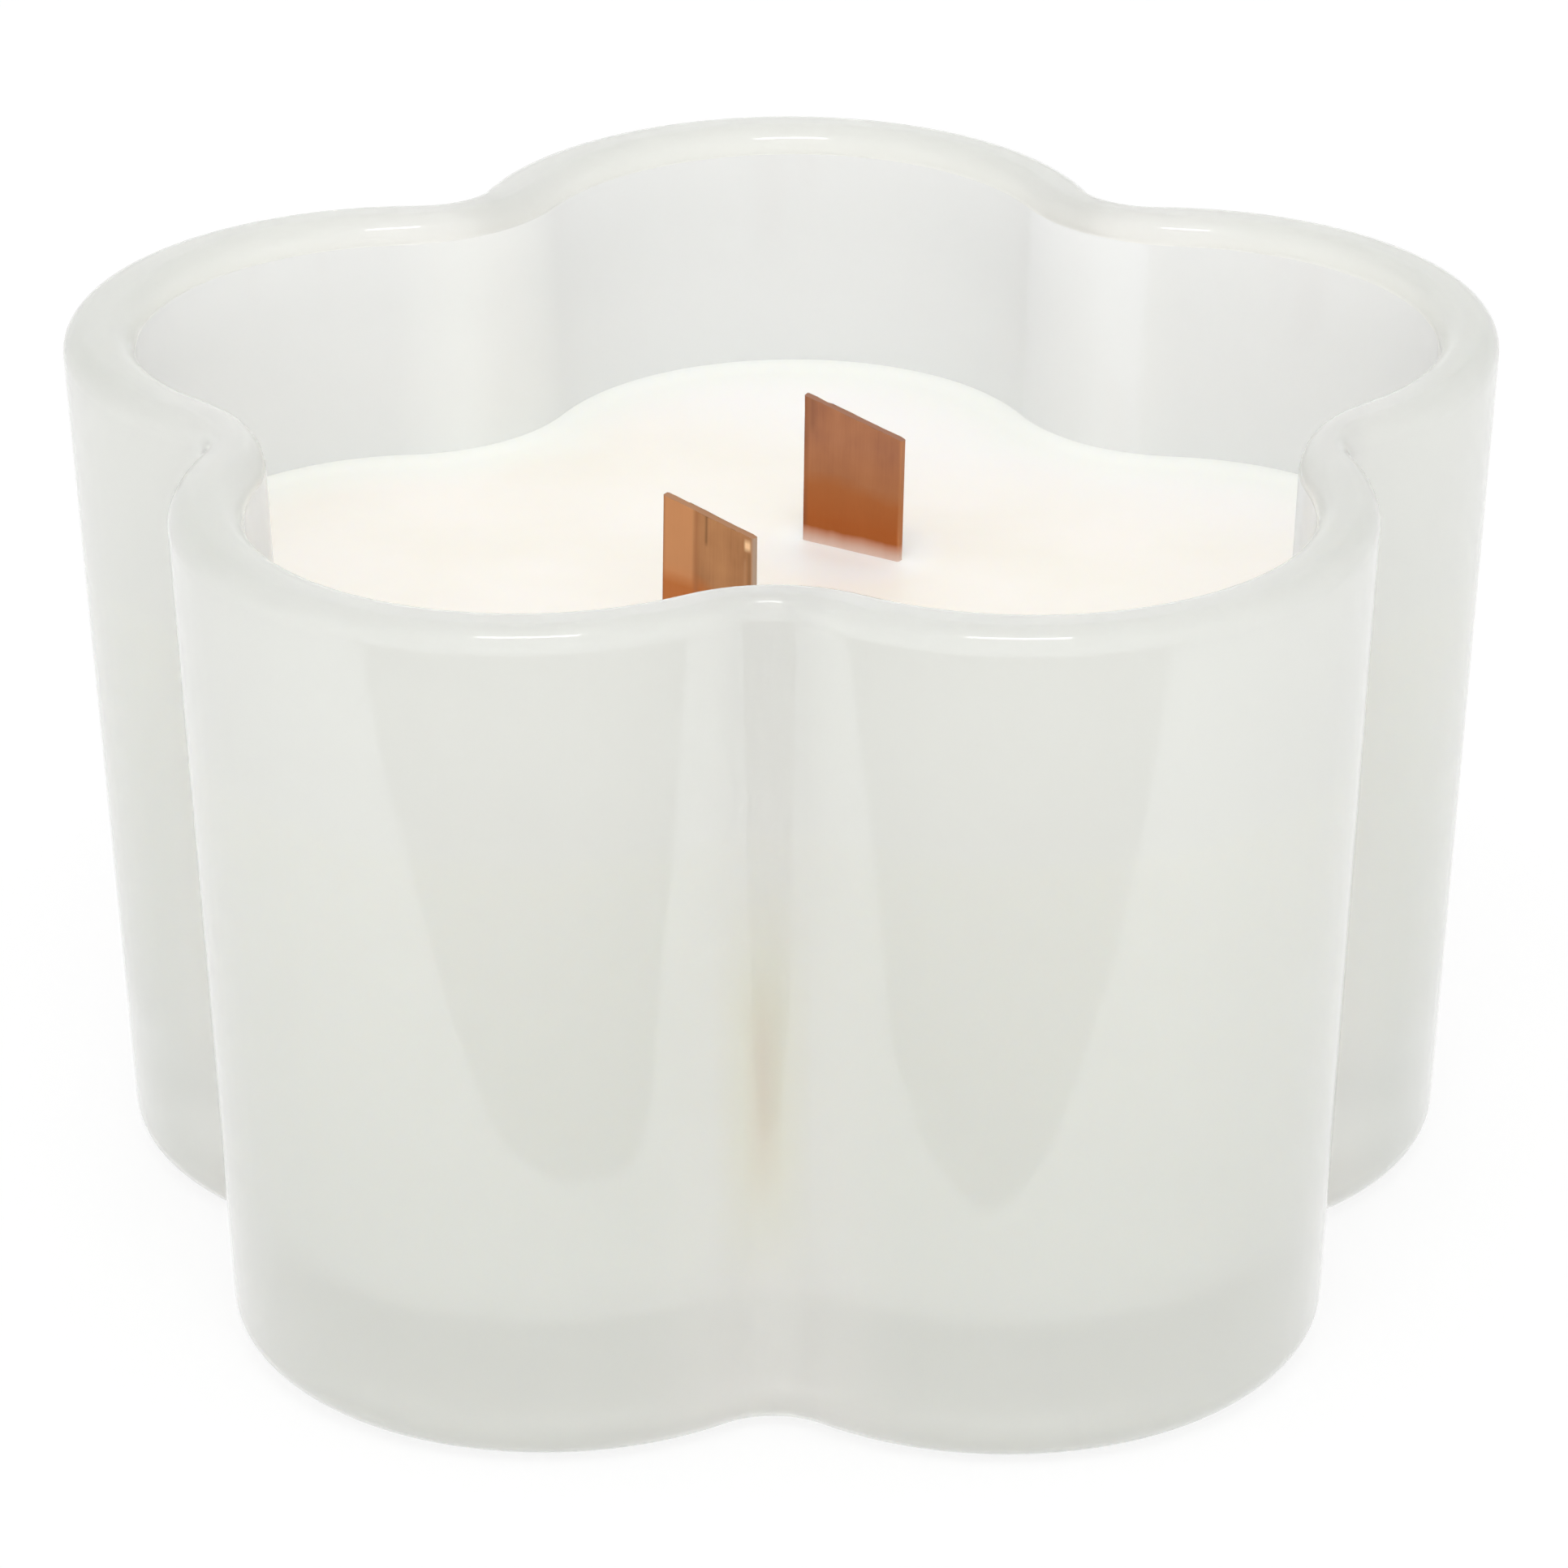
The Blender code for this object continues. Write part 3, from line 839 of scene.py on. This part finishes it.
@dataclass
class SatinJar:
    """The glass jar: drafted lobed walls, rounded rim, thick floor and a foot ring."""

    outline: LobedOutline
    axis: Matrix
    floor: float = 0.0107
    rim_radius: float = RIM_ROLL
    base_corner_radius: float = 0.0034
    floor_corner_radius: float = 0.0050
    foot_width: float = 0.0050
    punt_depth: float = 0.0016
    punt_ramp: float = 0.0040
    skin: float = 0.00006
    edge_steps: int = 16
    floor_rings: int = 6
    # Painted light on the front groove: a pale band, and a warm core for the wood's light through
    # the wax and glass.
    streaks: tuple[Mark, ...] = (
        Mark(-0.7, 5.0, 19.0, 45.0, "FBF9EA", 1.0, 1.5, 4.0),
        Mark(-0.7, 1.5, 24.0, 39.0, "F6ECDD", 1.0, 0.9, 4.0),
    )

    def finishes(self) -> tuple[Material, Material]:
        """Makes the outside's finish and the inside's."""
        crease = self.outline.crease_radius_at(self.outline.height / 2.0)
        axis_y = self.axis.translation.y
        # The whiter creases and upper wall, and the streaks, are painted light.
        outside = SatinGlass(
            "polished_satin_glass", polish=1.0, transmission=0.5, colour="F2F3EE",
            upper_painted_light="FCFCF7", crease_painted_light="FEFDF9", crease_radius=crease, axis_y=axis_y,
            streaks=self.streaks)
        inside = SatinGlass(
            "etched_satin_glass", polish=0.5, transmission=0.25, colour="F3F3F4",
            upper_painted_light="F3F3F4", crease_painted_light="FCFDFC",
            crease_radius=crease - self.outline.wall, axis_y=axis_y, rim_transmission=0.2,
            rim_from=0.0670, rim_to=0.0735)
        return outside.make(), inside.make()

    def outer_section(self) -> list[tuple[float, float]]:
        """Returns the section (z, inset) from the punt round the outside to inside the rim."""
        foot_inner = self.base_corner_radius + self.foot_width
        section = []
        for step in range(self.edge_steps + 1):
            along = step / self.edge_steps
            z = self.punt_depth * (1.0 + math.cos(math.pi * along)) / 2.0
            section.append((z, foot_inner + self.punt_ramp * (1.0 - along)))
        corner = self.base_corner_radius
        section += arc((corner, corner), corner - self.skin, 270.0, 180.0, self.edge_steps)
        wall, radius = self.outline.wall, self.rim_radius
        rim_z = self.outline.height - radius
        section += arc((rim_z, radius), radius - self.skin, 180.0, 90.0, self.edge_steps)
        section += arc((rim_z, wall - radius), radius - self.skin, 90.0, 0.0, self.edge_steps)
        return section

    def inner_section(self) -> list[tuple[float, float]]:
        """Returns the section (z, inset) from below the rim down the inside to the floor."""
        section = [(self.outline.height - self.rim_radius - self.skin, self.outline.wall)]
        section += arc(self.floor_corner(), self.floor_corner_radius, 180.0, 270.0,
                       self.edge_steps)
        return section

    def floor_corner(self) -> tuple[float, float]:
        """Returns the centre (z, inset) of the round corner between wall and floor."""
        radius = self.floor_corner_radius
        return self.floor + radius, self.outline.wall + radius

    def build(self) -> Mesh:
        """Builds the mesh, with material 0 on outside faces and 1 on inside ones."""
        bm = bmesh.new()
        outer = self.outer_section()
        section = outer + self.inner_section()
        middle = self.outline.height / 2.0
        bands = skin_rings(bm, [self.outline.ring(z, inset, z > middle or place >= len(outer))
                                for place, (z, inset) in enumerate(section)])
        for band in bands[len(outer):]:
            for face in band:
                face.material_index = 1
        count = len(self.outline.ring(0.0, 0.0))
        close_with_rings(bm, 0, count, self.floor_rings)
        outside_faces = len(bm.faces)
        close_with_rings(bm, count * (len(section) - 1), count, self.floor_rings)
        bm.faces.ensure_lookup_table()
        for face in bm.faces[outside_faces:]:
            face.material_index = 1
        return bm

    def make(self) -> Object:
        """Builds and dresses the jar."""
        return place_piece("satin_jar", self.build(), self.finishes(), "glass_vessel",
                           self.axis)


class WickPlace(Enum):
    """Which of the two wicks, by the name that its nodes share."""

    FRONT = "front"
    REAR = "rear"


@dataclass(frozen=True)
class WickForm:
    """How one strip turned and bent above its clip, how far it stands out, and its top's slant."""

    twist: float
    bend: float
    show: float
    slant: float


FORMS = {
    WickPlace.FRONT: WickForm(
        twist=math.radians(-4.0), bend=0.0004, show=0.0122, slant=math.radians(9.0)),
    WickPlace.REAR: WickForm(
        twist=math.radians(5.0), bend=0.0005, show=0.0124, slant=math.radians(14.0)),
}


@dataclass
class WickStrip:
    """One flat wooden wick: where it stands, how big it is, and how it has warped.

    The clip holds its foot. Above that the thin strip turns and bends a little.
    """

    place: WickPlace
    seat: Matrix
    cherry: SawnCherry
    wax_level: float
    bottom: float
    form: WickForm
    width: float = 0.0095
    thickness: float = 0.0007
    held_to: float = 0.019
    edge_radius: float = 0.00012
    top_gap: float = 0.0001
    tear_depth: float = 0.00012
    tear_pace: tuple[float, float] = (1900.0, 900.0)
    wave_depth: float = 0.00004
    wave_pace: tuple[float, float] = (300.0, 120.0)
    wave_shift: float = 90.0
    rows: int = 90
    columns: int = 24

    def distance(self, x: float, y: float) -> float:
        """Returns the distance in plan from a point near the wick to the wick's side.

        Args:
            x: the point's place along the wick's width, in its own axes.
            y: the point's place across the wick's thickness.
        """
        spot = self.warp(self.wax_level).inverted() @ Vector((x, y, 0.0))
        out_x = max(abs(spot.x) - self.width / 2.0, 0.0)
        out_y = max(abs(spot.y) - self.thickness / 2.0, 0.0)
        return math.hypot(out_x, out_y)

    def warp(self, z: float) -> Matrix:
        """Returns how far the strip has turned and bent at one height."""
        top = self.wax_level + self.form.show
        share = min(max((z - self.held_to) / (top - self.held_to), 0.0), 1.0)
        turn = Matrix.Rotation(self.form.twist * share, 4, "Z")
        return Matrix.Translation((self.form.bend * share ** 3, 0.0, 0.0)) @ turn

    def top_at(self, x: float) -> float:
        """Returns the height of the slanted top at a place along the width."""
        return self.wax_level + self.form.show - x * math.tan(self.form.slant)

    def section(self) -> list[tuple[float, float]]:
        """Returns the strip's rounded section as plan points, anticlockwise."""
        half_x = self.width / 2.0 - self.edge_radius
        half_y = self.thickness / 2.0 - self.edge_radius
        points = []
        for side in (1.0, -1.0):
            for column in range(self.columns + 1):
                x = side * half_x * (1.0 - 2.0 * column / self.columns)
                points.append((x, side * (half_y + self.edge_radius)))
            points.append((-side * (half_x + self.edge_radius), side * half_y))
            points.append((-side * (half_x + self.edge_radius), -side * half_y))
        return points

    def build(self) -> Mesh:
        """Builds the strip with a slightly torn top, and UVs in metres along its faces."""
        bm = bmesh.new()
        plan = self.section()
        rings = []
        along_row = self.seat.translation.x * self.wave_shift
        for row in range(self.rows + 1):
            share = row / self.rows
            ring = []
            for x, y in plan:
                place = Vector((x * self.tear_pace[0], y * self.tear_pace[1], 7.0))
                tear = self.tear_depth * noise.noise(place)
                z = self.bottom + share * (self.top_at(x) - self.top_gap + tear - self.bottom)
                place = Vector((x * self.wave_pace[0], along_row, z * self.wave_pace[1]))
                wave = self.wave_depth * noise.noise(place)
                ring.append(self.warp(z) @ Vector((x, y + wave, z)))
            rings.append(ring)
        skin_rings(bm, rings)
        bm.verts.ensure_lookup_table()
        count = len(plan)
        bm.faces.new(bm.verts[:count])
        bm.faces.new(bm.verts[-count:])
        bm.verts.index_update()
        layer = bm.loops.layers.uv.new("grain")
        for face in bm.faces:
            for loop in face.loops:
                loop[layer].uv = (plan[loop.vert.index % count][0], loop.vert.co.z)
        return bm

    def make(self) -> Object:
        """Builds and dresses the wick."""
        name = f"{self.place.value}_cherry_wick"
        return place_piece(name, self.build(), (self.cherry.make(),),
                           f"{self.place.value}_wick", self.seat)


@dataclass
class WaxFill:
    """The poured wax, which wets the glass and creeps up it and up each wick."""

    jar: SatinJar
    wicks: Sequence[WickStrip]
    level: float
    wetting: float = 0.00005
    meniscus_rise: float = 0.0005
    meniscus_width: float = 0.0022
    collar_rise: float = 0.0001
    collar_width: float = 0.0014
    sag: float = 0.00006
    sag_pace: float = 45.0
    refine_passes: int = 3
    refine_shrink: float = 0.62
    edge_steps: int = 16
    bottom_rings: int = 6
    top_rings: int = 44

    def section(self) -> list[tuple[float, float]]:
        """Returns the section (z, inset) from the bottom up the side and over the meniscus."""
        side = self.jar.outline.wall - self.wetting
        radius = self.jar.floor_corner_radius + self.wetting
        section = arc(self.jar.floor_corner(), radius, 270.0, 180.0, self.edge_steps)
        for step in range(self.edge_steps + 1):
            share = step / self.edge_steps
            z = self.level + self.meniscus_rise * (1.0 - share) ** 2
            section.append((z, side + self.meniscus_width * share))
        return section

    def refine_near_wicks(self, bm: Mesh) -> None:
        """Splits the top's faces round each wick, so that they can follow its collar."""
        reach = self.collar_width * 3.0
        for _ in range(self.refine_passes):
            edges = []
            for edge in bm.edges:
                middle = (edge.verts[0].co + edge.verts[1].co) / 2.0
                near = any(self.wick_distance(wick, middle) < reach for wick in self.wicks)
                if near and middle.z > self.level - MM:
                    edges.append(edge)
            bmesh.ops.subdivide_edges(bm, edges=edges, cuts=1, use_grid_fill=True)
            reach *= self.refine_shrink

    def wick_distance(self, wick: WickStrip, point: Vector) -> float:
        """Returns the plan distance from a point in the jar's axes to a wick's side."""
        local = wick.seat.inverted() @ (self.jar.axis @ point)
        return wick.distance(local.x, local.y)

    def creep(self, bm: Mesh) -> None:
        """Raises the top round each wick, and lets the rest of it sag a little."""
        for vert in bm.verts:
            if vert.co.z < self.level - MM:
                continue
            for wick in self.wicks:
                away = self.wick_distance(wick, vert.co) / self.collar_width
                vert.co.z += self.collar_rise * max(0.0, 1.0 - away) ** 2
            slow = Vector((vert.co.x * self.sag_pace, vert.co.y * self.sag_pace, 3.0))
            vert.co.z += self.sag * noise.noise(slow)

    def build(self) -> Mesh:
        """Builds the block of wax."""
        bm = bmesh.new()
        section = self.section()
        outline = self.jar.outline
        skin_rings(bm, [outline.ring(z, inset, True) for z, inset in section])
        count = len(outline.ring(0.0, 0.0))
        close_with_rings(bm, 0, count, self.bottom_rings)
        close_with_rings(bm, count * (len(section) - 1), count, self.top_rings)
        self.refine_near_wicks(bm)
        self.creep(bm)
        layer = bm.loops.layers.uv.new("from_glass")
        for face in bm.faces:
            for loop in face.loops:
                loop[layer].uv = (outline.depth_inside(loop.vert.co), 0.0)
        return bm

    def make(self) -> Object:
        """Builds and dresses the wax."""
        feet = tuple(wick.seat @ Vector((0.0, 0.0, self.level)) for wick in self.wicks)
        return place_piece("soy_wax", self.build(), (PouredWax(feet).make(),), "wax_fill",
                           self.jar.axis)


@dataclass(frozen=True)
class SoftBox:
    """A rectangular lamp that faces the candle."""

    name: str
    place: tuple[float, float, float]
    size: tuple[float, float]
    power: float
    mirrored: bool = False


@dataclass
class Studio:
    """A white sweep, soft lamps, and the camera of the photograph."""

    axis: Matrix
    lamps: tuple[SoftBox, ...] = (
        SoftBox("top_soft_box", (0.0, -0.42, 0.85), (0.36, 0.12), 1.1, mirrored=True),
        SoftBox("top_fill", (0.0, -0.42, 0.85), (0.5, 0.3), 0.55),
        SoftBox("left_soft_box", (-0.85, -0.35, 0.55), (0.45, 0.6), 0.2, mirrored=True),
        SoftBox("right_soft_box", (0.85, -0.35, 0.55), (0.45, 0.6), 0.2, mirrored=True),
        SoftBox("front_fill", (0.0, -0.9, 0.45), (0.9, 0.5), 1.2),
        SoftBox("low_front_fill", (0.0, -1.2, 0.25), (0.6, 0.4), 1.0),
        SoftBox("left_fill", (-1.2, 0.2, 0.25), (0.6, 0.4), 0.9),
        SoftBox("right_fill", (1.2, 0.2, 0.25), (0.6, 0.4), 0.9),
        SoftBox("back_fill", (0.0, 1.2, 0.25), (0.6, 0.4), 1.6),
    )
    azimuth: float = math.radians(0.907)
    elevation: float = math.radians(24.97)
    roll: float = math.radians(-0.22)
    distance: float = 0.6103
    aim: Vector = field(default_factory=lambda: Vector((0.0003, 0.0, 0.0363)))
    focal_px: float = 8915.0
    sensor: float = 36.0
    floor_side: float = 6.0
    floor_below_mm: float = 0.02
    floor_colour: str = "F2F2F2"
    ambient: float = 0.84
    paper_glow: float = 0.8
    paper_white: float = 1.03
    board_colour: str = "543F1E"
    board_above_mm: float = 0.2

    def make_world(self) -> None:
        """Sets a plain white surround: full white to look at, softer as a lamp."""
        world = bpy.data.worlds.new("white_surround")
        world.use_nodes = True
        tree = world.node_tree
        background = tree.nodes["Background"]
        background.inputs["Color"].default_value = hex_colour("FFFFFF")
        tree.links.new(self.seen_directly(tree, self.ambient, 1.0), background.inputs["Strength"])
        bpy.context.scene.world = world

    def seen_directly(self, tree: Tree, otherwise: float, seen: float) -> Socket:
        """Returns a value that differs for camera, glossy and transmission rays.

        Args:
            tree: the node tree.
            otherwise: the value that diffuse light gets.
            seen: the value for what is looked at, mirrored or seen through glass.
        """
        path = add_node(tree, "LightPath")
        mirrored = add_node(tree, "Math", {"operation": "MAXIMUM"}, {
            0: path.outputs["Is Camera Ray"], 1: path.outputs["Is Glossy Ray"]})
        any_look = add_node(tree, "Math", {"operation": "MAXIMUM"}, {
            0: mirrored.outputs[0], 1: path.outputs["Is Transmission Ray"]})
        value = add_node(tree, "MapRange", inputs={
            "Value": any_look.outputs[0], "To Min": otherwise, "To Max": seen})
        return value.outputs["Result"]

    def matt_paper(self, name: str, colour: str) -> tuple[Material, Tree, Node]:
        """Makes the material of uncoated paper or board, which has no gloss."""
        return new_material(name, {
            "Base Color": hex_colour(colour), "Roughness": 1.0, "Specular IOR Level": 0.0})

    def make_floor(self) -> None:
        """Lays a white paper sweep that keeps a soft shadow."""
        bm = bmesh.new()
        bmesh.ops.create_grid(bm, x_segments=8, y_segments=8, size=self.floor_side / 2.0)
        floor = add_object("paper_sweep", bm)
        floor.location = (0.0, 0.0, -self.floor_below_mm * MM)
        material, tree, shader = self.matt_paper("white_paper_sweep", self.floor_colour)
        glow = add_node(tree, "Emission", inputs={
            "Color": hex_colour("FFFFFF"), "Strength": self.paper_white})
        share = self.seen_directly(tree, 0.0, self.paper_glow)
        mix = add_node(tree, "MixShader", inputs={
            0: share, 1: shader.outputs["BSDF"], 2: glow.outputs["Emission"]})
        tree.links.new(mix.outputs["Shader"], tree.nodes["Material Output"].inputs["Surface"])
        floor.data.materials.append(material)

    def hang(self, box: SoftBox) -> None:
        """Hangs one lamp, turned towards the candle."""
        lamp = bpy.data.lights.new(box.name, "AREA")
        lamp.shape = "RECTANGLE"
        lamp.size, lamp.size_y = box.size
        lamp.energy = box.power
        holder = bpy.data.objects.new(box.name, lamp)
        holder.location = box.place
        holder.rotation_mode = "QUATERNION"
        holder.rotation_quaternion = (self.aim - Vector(box.place)).to_track_quat("-Z", "Y")
        holder.visible_glossy = box.mirrored
        bpy.context.scene.collection.objects.link(holder)

    def make_table_board(self) -> None:
        """Lays a beige board on the table in front, out of the picture.

        Only the gloss of the glass sees it: it is the soft darker shape that narrows downwards
        on each front lobe.
        """
        corners = ((-260.0, -196.0), (-128.0, -138.0), (-90.0, -130.0), (-70.0, -122.0),
                   (-50.0, -112.0), (-32.0, -101.0), (-12.0, -95.0), (13.0, -90.0),
                   (29.0, -97.0), (46.0, -109.0), (80.0, -126.0), (122.0, -144.0),
                   (260.0, -202.0), (260.0, -300.0), (-260.0, -300.0))
        bm = bmesh.new()
        height = self.board_above_mm
        bm.faces.new([bm.verts.new(Vector((x, y, height)) * MM) for x, y in corners])
        board = add_object("beige_board", bm)
        board.data.materials.append(self.matt_paper("beige_table_board", self.board_colour)[0])
        board.visible_camera = False
        board.visible_diffuse = False
        board.visible_transmission = False
        board.visible_shadow = False

    def make_camera(self) -> None:
        """Places the photograph's camera, a long lens looking down at the candle."""
        forward = Vector((0.0, math.cos(self.elevation), -math.sin(self.elevation)))
        upward = Vector((0.0, math.sin(self.elevation), math.cos(self.elevation)))
        across = Vector((1.0, 0.0, 0.0))
        right = across * math.cos(self.roll) + upward * math.sin(self.roll)
        up = upward * math.cos(self.roll) - across * math.sin(self.roll)
        turn = Matrix((right, up, -forward)).transposed().to_4x4()
        stand = Matrix.Translation(self.aim - forward * self.distance)
        data = bpy.data.cameras.new("photo_camera")
        data.sensor_width = self.sensor
        data.lens = self.sensor * self.focal_px / PHOTO_SIDE_PX
        data.clip_start = 0.01
        camera = bpy.data.objects.new("photo_camera", data)
        camera.matrix_world = self.axis @ Matrix.Rotation(self.azimuth, 4, "Z") @ stand @ turn
        bpy.context.scene.collection.objects.link(camera)
        bpy.context.scene.camera = camera

    def make(self) -> None:
        """Sets up the whole studio."""
        scene = bpy.context.scene
        scene.view_settings.view_transform = "Standard"
        self.make_world()
        self.make_floor()
        self.make_table_board()
        for box in self.lamps:
            self.hang(box)
        self.make_camera()


def clear_scene() -> None:
    """Removes whatever the scene holds before the frame is loaded."""
    for found in list(bpy.data.objects):
        bpy.data.objects.remove(found, do_unlink=True)


def seat_of(node: str, turn: float) -> Matrix:
    """Returns the place of a wick's own axes, on the floor under its node's middle."""
    low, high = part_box(node)
    middle = (low + high) / 2.0
    return Matrix.Translation((middle.x, middle.y, 0.0)) @ Matrix.Rotation(turn, 4, "Z")


def cherry_for(place: WickPlace, wax_level: float) -> SawnCherry:
    """Returns the wood of one wick: the front strip has a pale stripe beside a dark line, and a
    painted highlight near its top.

    Args:
        place: which wick.
        wax_level: height of the wax over the floor.
    """
    if place is WickPlace.FRONT:
        marks = (
            Mark(-3.1, 3.4, 5.8, 20.0, "CE8F60", 0.75, 0.3),
            Mark(-4.7, 0.35, -2.0, 20.0, "8A5A3C", 0.5),
            Mark(-1.15, 0.5, -2.0, 20.0, "A06640", 0.6, 0.2),
            Mark(-0.1, 0.22, 9.6, 20.0, "6E4A2E", 0.7),
            # Painted highlight: a small bright spot below the top's corner.
            Mark(4.2, 0.6, 10.2, 11.0, "F6CA9C", 1.0, 0.12),
            Mark(4.78, 0.22, 1.0, 20.0, "B8A797", 0.8),
            Mark(4.4, 0.3, 4.0, 10.0, "7A5636", 0.4),
            Mark(3.95, 0.2, 4.0, 9.3, "CBA27C", 0.25),
        )
        return SawnCherry("sawn_cherry_front", wax_level, marks, pale="C08A5C", mid="B17C52",
                          dark="9C6A45", end_grain="A87C5C", soaked="BC6A30", soak_mm=5.6,
                          slope=0.3)
    marks = (
        Mark(-4.6, 0.5, -2.0, 20.0, "7C4A30", 0.55, 0.2),
        Mark(-3.9, 0.5, 10.5, 20.0, "7E5440", 0.5, 0.25),
        Mark(4.7, 0.2, -2.0, 20.0, "C98E62", 0.5),
        Mark(0.0, 12.0, 4.0, 8.2, "A86A3E", 0.55, 0.8),
    )
    return SawnCherry("sawn_cherry_rear", wax_level, marks, pale="B57C58", mid="A87050",
                      dark="96624A", end_grain="9C705A", soaked="A6520C",
                      soak_mm=5.9, slope=0.05)


def dress_node(node: Object, material: Material, edge: float) -> None:
    """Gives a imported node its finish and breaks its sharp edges.

    Args:
        node: the node's object.
        material: its finish.
        edge: width of the broken edges.
    """
    for place in node.material_slots:
        place.material = material
    soften = node.modifiers.new("broken_edges", "BEVEL")
    soften.width = edge
    soften.segments = 2
    soften.limit_method = "ANGLE"
    soften.angle_limit = math.radians(50.0)
    LOG.info("%s keeps its shape, in %s", node.name, material.name)


def main() -> None:
    """Builds every piece in order."""
    logging.basicConfig(level=logging.INFO, format="%(message)s")
    clear_scene()
    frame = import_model()
    jar_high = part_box("glass_vessel")[1]
    outline = LobedOutline(height=jar_high.z)
    widest = [point.y for point in outline.ring(jar_high.z - RIM_ROLL, 0.0)]
    axis = Matrix.Translation((0.0, -(min(widest) + max(widest)) / 2.0, 0.0))
    jar = SatinJar(outline, axis)
    jar.make()
    level = jar_high.z - WAX_BELOW_RIM
    wicks = []
    for place in WickPlace:
        node = f"{place.value}_wick"
        strip = WickStrip(place, seat_of(node, WICK_TURN), cherry_for(place, level), level,
                          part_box(node)[0].z, FORMS[place])
        strip.make()
        wicks.append(strip)
    WaxFill(jar, wicks, level).make()
    steel = TinnedSteel().make()
    foam = FoamTape().make()
    for place in WickPlace:
        dress_node(frame["nodes"][f"{place.value}_wick_clip"], steel, CLIP_EDGE)
        dress_node(frame["nodes"][f"{place.value}_clip_sticker"], foam, STICKER_EDGE)
    Studio(axis).make()


if __name__ == "__main__":
    main()
